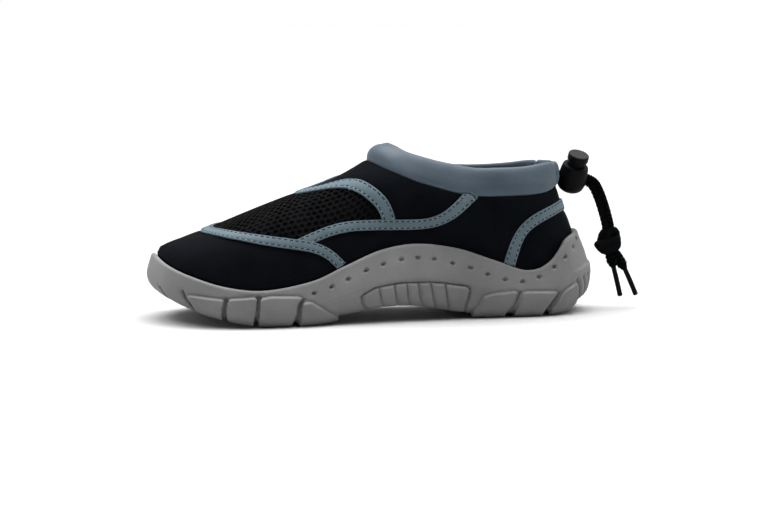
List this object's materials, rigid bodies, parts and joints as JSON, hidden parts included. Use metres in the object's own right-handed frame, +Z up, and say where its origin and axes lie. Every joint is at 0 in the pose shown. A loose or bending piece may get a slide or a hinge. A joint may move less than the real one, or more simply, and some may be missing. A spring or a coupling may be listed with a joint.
{
  "type": "water shoe",
  "caption": "Slip-on water shoe for the left foot: cupped lugged rubber sole, stretch upper with stitched strips, padded collar, drawcord with a spring cord lock.",
  "frame": {"origin": "on the ground, midway along the sole and midway across the ball", "axes": "+X forward to the toe, +Y to the left (outer side of this left foot), +Z up"},
  "size_m": [0.297, 0.1007, 0.1018],
  "materials": {
    "grey_rubber": "matt moulded rubber",
    "dark_foam": "cloth-faced foam",
    "black_stretch_cloth": "smooth stretch knit on foam",
    "blue_grey_stretch": "satin stretch knit",
    "blue_grey_strip": "stitched synthetic strip",
    "black_plastic": "satin moulded plastic",
    "black_cord": "braided cord"
  },
  "bodies": {
    "shoe": {"outsole": "grey_rubber", "insole": "dark_foam", "upper": "black_stretch_cloth", "collar": "blue_grey_stretch", "toe_band": "blue_grey_strip", "side_band_outer": "blue_grey_strip", "side_band_inner": "blue_grey_strip", "instep_band": "blue_grey_strip", "heel_band": "blue_grey_strip", "cord_lock_barrel": "black_plastic", "drawcord_upper": "black_cord", "drawcord_lower": "black_cord", "drawcord_knot": "black_cord", "drawcord_end_front": "black_cord", "drawcord_end_back": "black_cord", "drawcord_tip_front": "black_cord", "drawcord_tip_back": "black_cord"},
    "plunger": {"cord_lock_plunger": "black_plastic"}
  },
  "joints": [
    {"name": "lock_press", "type": "slide", "parent": "shoe", "child": "plunger", "axis": [-0.1389, 0.4061, 0.9032], "range_m": [-0.0027, 0], "stiffness_N_per_m": 700, "springref_m": 0.003}
  ]
}
